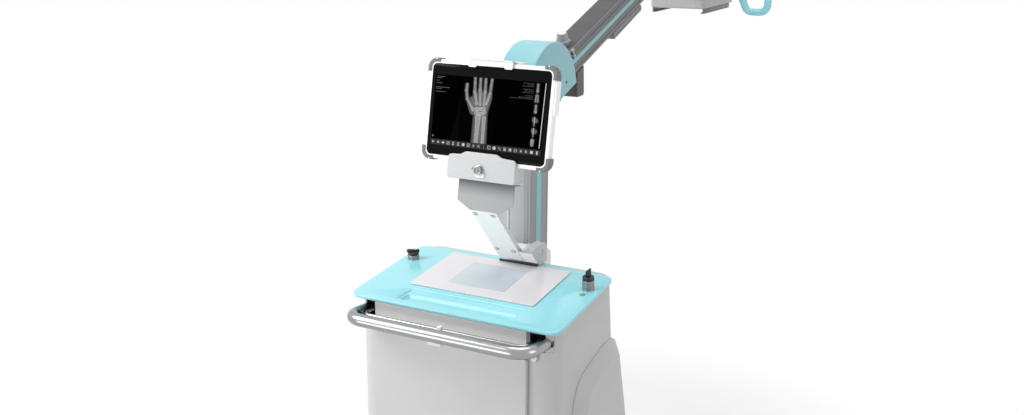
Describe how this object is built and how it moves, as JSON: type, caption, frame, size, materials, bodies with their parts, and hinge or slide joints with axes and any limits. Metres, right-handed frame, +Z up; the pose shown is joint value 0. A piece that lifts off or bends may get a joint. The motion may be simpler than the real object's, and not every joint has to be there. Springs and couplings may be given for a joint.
{
  "type": "portable x-ray machine",
  "caption": "Wheeled hospital x-ray cart: sloping deck with touch panel, push handle, column, lifting arm with tube head and collimator, folding tablet mount, tilting detector bin.",
  "frame": {"origin": "on the floor under the middle of the machine's length and width", "axes": "+Y from the operator towards the tube head, +X to the operator's right, +Z up"},
  "size_m": [0.58, 2.0047, 1.768],
  "materials": {
    "cyan_gloss": "gloss",
    "body_grey": "satin",
    "panel_white": "satin",
    "white": "satin",
    "bright_grey": "satin",
    "anodised": "satin",
    "dark_grey": "satin",
    "black": "matte",
    "screen": "gloss",
    "chrome": "polished",
    "steel": "brushed",
    "tyre": "matte",
    "lamp": "gloss"
  },
  "bodies": {
    "cart": {"chassis_frame": "dark_grey", "wheel_axle": "steel", "housing": "body_grey", "fascia": "panel_white", "kick_panel": "panel_white", "door_lock": "steel", "bin_hinge_pin": "steel", "deck": "cyan_gloss", "touch_panel": "white", "switch_collar_left": "steel", "switch_collar_right": "steel", "switch_knob_left": "black", "switch_knob_right": "black", "status_lamp": "lamp", "push_handle": "chrome", "brake_bar": "steel", "brake_bar_clip": "white", "handle_socket_left": "black", "handle_socket_right": "black", "column_socket": "body_grey", "column": "anodised", "column_head": "dark_grey", "tablet_hinge_base": "bright_grey"},
    "wheel_left": {"tyre_left": "tyre", "rim_left": "bright_grey"},
    "wheel_right": {"tyre_right": "tyre", "rim_right": "bright_grey"},
    "castor_left": {"castor_fork_left": "steel"},
    "castor_right": {"castor_fork_right": "steel"},
    "castor_left_wheel": {"castor_wheel_left": "tyre"},
    "castor_right_wheel": {"castor_wheel_right": "tyre"},
    "bin": {"bin_door": "panel_white", "bin_pull_tab": "chrome", "bin_tray": "bright_grey"},
    "arm": {"shoulder_axle": "steel", "shoulder_cover": "cyan_gloss", "arm_root": "anodised", "arm_beam": "anodised", "arm_knuckle": "dark_grey", "arm_rail": "bright_grey", "arm_cap_knob": "bright_grey", "spring_housing": "dark_grey", "wrist_axle": "steel"},
    "wrist": {"wrist_link": "dark_grey"},
    "tilt": {"tilt_fork": "dark_grey", "tilt_axle": "steel"},
    "head": {"monoblock": "panel_white", "collimator": "panel_white", "head_rail_left": "anodised", "head_rail_right": "anodised", "loop_handle": "cyan_gloss"},
    "tablet": {"tablet_arm": "bright_grey", "tablet_arm_cover": "white", "bracket_plate": "bright_grey", "tablet_holder": "white", "holder_lock": "chrome", "tablet_case": "white", "tablet_glass": "screen"}
  },
  "joints": [
    {"name": "wheel_left_spin", "type": "hinge", "parent": "cart", "child": "wheel_left", "pos_m": [-0.262, -0.3576, 0.14], "axis": [1, 0, 0], "continuous": true},
    {"name": "wheel_right_spin", "type": "hinge", "parent": "cart", "child": "wheel_right", "pos_m": [0.262, -0.3576, 0.14], "axis": [1, 0, 0], "continuous": true},
    {"name": "castor_left_swivel", "type": "hinge", "parent": "cart", "child": "castor_left", "pos_m": [-0.165, -0.8326, 0.1], "axis": [0, 0, 1], "continuous": true},
    {"name": "castor_right_swivel", "type": "hinge", "parent": "cart", "child": "castor_right", "pos_m": [0.165, -0.8326, 0.1], "axis": [0, 0, 1], "continuous": true},
    {"name": "castor_left_spin", "type": "hinge", "parent": "castor_left", "child": "castor_left_wheel", "pos_m": [-0.165, -0.8026, 0.05], "axis": [1, 0, 0], "continuous": true},
    {"name": "castor_right_spin", "type": "hinge", "parent": "castor_right", "child": "castor_right_wheel", "pos_m": [0.165, -0.8026, 0.05], "axis": [1, 0, 0], "continuous": true},
    {"name": "bin_tilt", "type": "hinge", "parent": "cart", "child": "bin", "pos_m": [0, -0.9001, 0.35], "axis": [1, 0, 0], "range_deg": [0, 25]},
    {"name": "arm_lift", "type": "hinge", "parent": "cart", "child": "arm", "pos_m": [0, -0.4576, 1.314], "axis": [1, 0, 0], "range_deg": [-45, 30]},
    {"name": "wrist_level", "type": "hinge", "parent": "arm", "child": "wrist", "pos_m": [0, 0.54225, 1.65059], "axis": [1, 0, 0], "range_deg": [-30, 45]},
    {"name": "head_tilt", "type": "hinge", "parent": "wrist", "child": "tilt", "pos_m": [0, 0.6174, 1.69], "axis": [1, 0, 0], "range_deg": [-20, 60]},
    {"name": "head_roll", "type": "hinge", "parent": "tilt", "child": "head", "pos_m": [0, 0.6724, 1.69], "axis": [0, 1, 0], "range_deg": [-90, 90]},
    {"name": "tablet_fold", "type": "hinge", "parent": "cart", "child": "tablet", "pos_m": [0.0045, -0.5876, 0.942], "axis": [1, 0, 0], "range_deg": [-10, 20]}
  ],
  "couplings": [
    {"joint": "wrist_level", "follows": "arm_lift", "ratio": -1}
  ]
}
